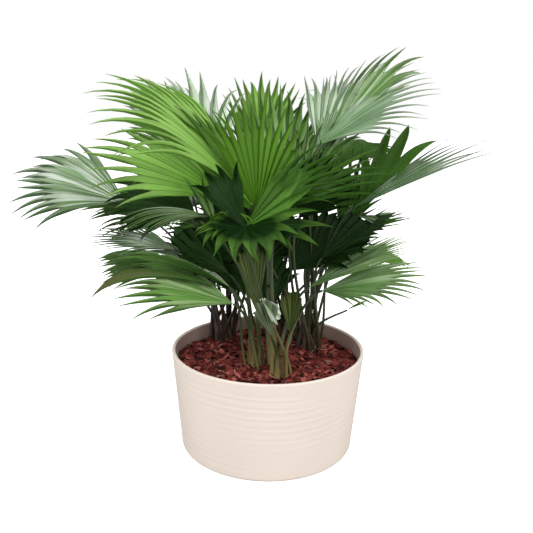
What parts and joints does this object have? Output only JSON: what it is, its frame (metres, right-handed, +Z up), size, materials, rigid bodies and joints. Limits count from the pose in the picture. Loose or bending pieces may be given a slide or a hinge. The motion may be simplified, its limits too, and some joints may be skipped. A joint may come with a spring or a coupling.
{
  "type": "potted footstool palm",
  "caption": "Footstool palm with pleated fan fronds on slim spined stalks, several short stems in bark mulch, in a round cream ribbed pot",
  "frame": {"origin": "centre of the pot's flat underside", "axes": "+X is to the right in the picture, +Y points away from its camera, +Z is up"},
  "size_m": [1.2806, 1.1049, 1.0458],
  "materials": {
    "pot_glaze": "satin cream with fine uneven horizontal ribs",
    "soil": "dark moist potting mix",
    "bark_chips": "red-brown bark chips",
    "stem_fibre": "brown fibrous stalk bases",
    "stalk": "smooth green to olive brown",
    "leaf_bright": "bright yellow-green, satin, finely veined",
    "leaf_mid": "mid green, satin",
    "leaf_dark": "dark green, glossy",
    "leaf_pale": "green with a pale sheen"
  },
  "bodies": {
    "root": {"pot": "pot_glaze", "potting_soil": "soil", "bark_mulch": "bark_chips", "front_stem": "stem_fibre", "middle_stem": "stem_fibre", "left_stem": "stem_fibre", "right_stem": "stem_fibre", "back_stem": "stem_fibre", "centre_fan_stalk": "stalk", "centre_fan_blade": "leaf_bright", "front_cup_stalk": "stalk", "front_cup_blade": "leaf_mid", "far_left_stalk": "stalk", "far_left_blade": "leaf_pale", "mid_left_stalk": "stalk", "mid_left_blade": "leaf_pale", "left_droop_stalk": "stalk", "left_droop_blade": "leaf_mid", "low_left_stalk": "stalk", "low_left_blade": "leaf_mid", "lowest_left_stalk": "stalk", "lowest_left_blade": "leaf_mid", "left_behind_stalk": "stalk", "left_behind_blade": "leaf_pale", "back_left_stalk": "stalk", "back_left_blade": "leaf_pale", "back_centre_stalk": "stalk", "back_centre_blade": "leaf_bright", "upper_right_stalk": "stalk", "upper_right_blade": "leaf_mid", "right_fan_stalk": "stalk", "right_fan_blade": "leaf_dark", "far_right_stalk": "stalk", "far_right_blade": "leaf_pale", "right_mid_stalk": "stalk", "right_mid_blade": "leaf_mid", "dark_right_stalk": "stalk", "dark_right_blade": "leaf_dark", "pale_right_stalk": "stalk", "pale_right_blade": "leaf_pale", "lowest_right_stalk": "stalk", "lowest_right_blade": "leaf_mid", "right_sprout_stalk": "stalk", "right_sprout_blade": "leaf_bright", "young_fan_stalk": "stalk", "young_fan_blade": "leaf_bright", "folded_leaf_stalk": "stalk", "folded_leaf_blade": "leaf_dark", "wedge_leaf_stalk": "stalk", "wedge_leaf_blade": "leaf_mid", "rear_left_stalk": "stalk", "rear_left_blade": "leaf_mid", "rear_low_left_stalk": "stalk", "rear_low_left_blade": "leaf_mid", "rear_centre_stalk": "stalk", "rear_centre_blade": "leaf_mid", "rear_right_stalk": "stalk", "rear_right_blade": "leaf_mid", "rear_low_right_stalk": "stalk", "rear_low_right_blade": "leaf_mid"}
  },
  "joints": []
}
